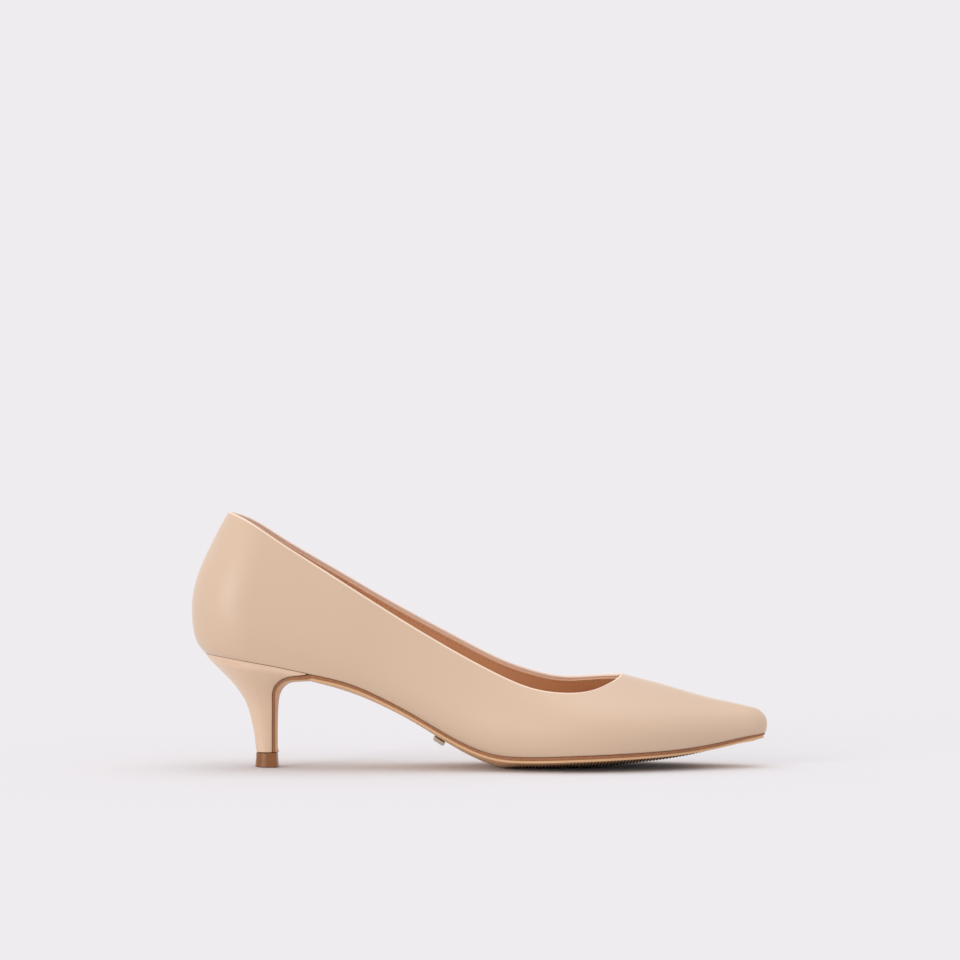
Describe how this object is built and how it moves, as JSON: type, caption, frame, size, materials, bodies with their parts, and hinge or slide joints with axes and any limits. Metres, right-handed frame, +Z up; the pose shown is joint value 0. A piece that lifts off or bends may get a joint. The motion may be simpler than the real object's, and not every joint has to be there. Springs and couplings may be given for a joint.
{
  "type": "kitten heel pump",
  "caption": "Woman's pointed-toe leather pump with a low covered kitten heel, open at the collar, with a thin leather-look sole.",
  "frame": {"origin": "on the floor, under the middle of the shoe's box", "axes": "+X towards the toe, +Z up, -Y towards the outer side of the right foot"},
  "size_m": [0.2581, 0.076, 0.1148],
  "materials": {
    "upper_leather": "smooth nude leather, satin",
    "sock_lining": "smooth tan lining leather",
    "sole": "tan resin sole with a brown painted edge",
    "heel_cover": "the upper's leather over a moulded heel",
    "top_lift": "hard brown plastic",
    "plate": "pale blank plate"
  },
  "bodies": {
    "root": {"upper": "upper_leather", "insole": "sock_lining", "outsole": "sole", "heel": "heel_cover", "top_lift": "top_lift", "sole_plate": "plate"}
  },
  "joints": []
}
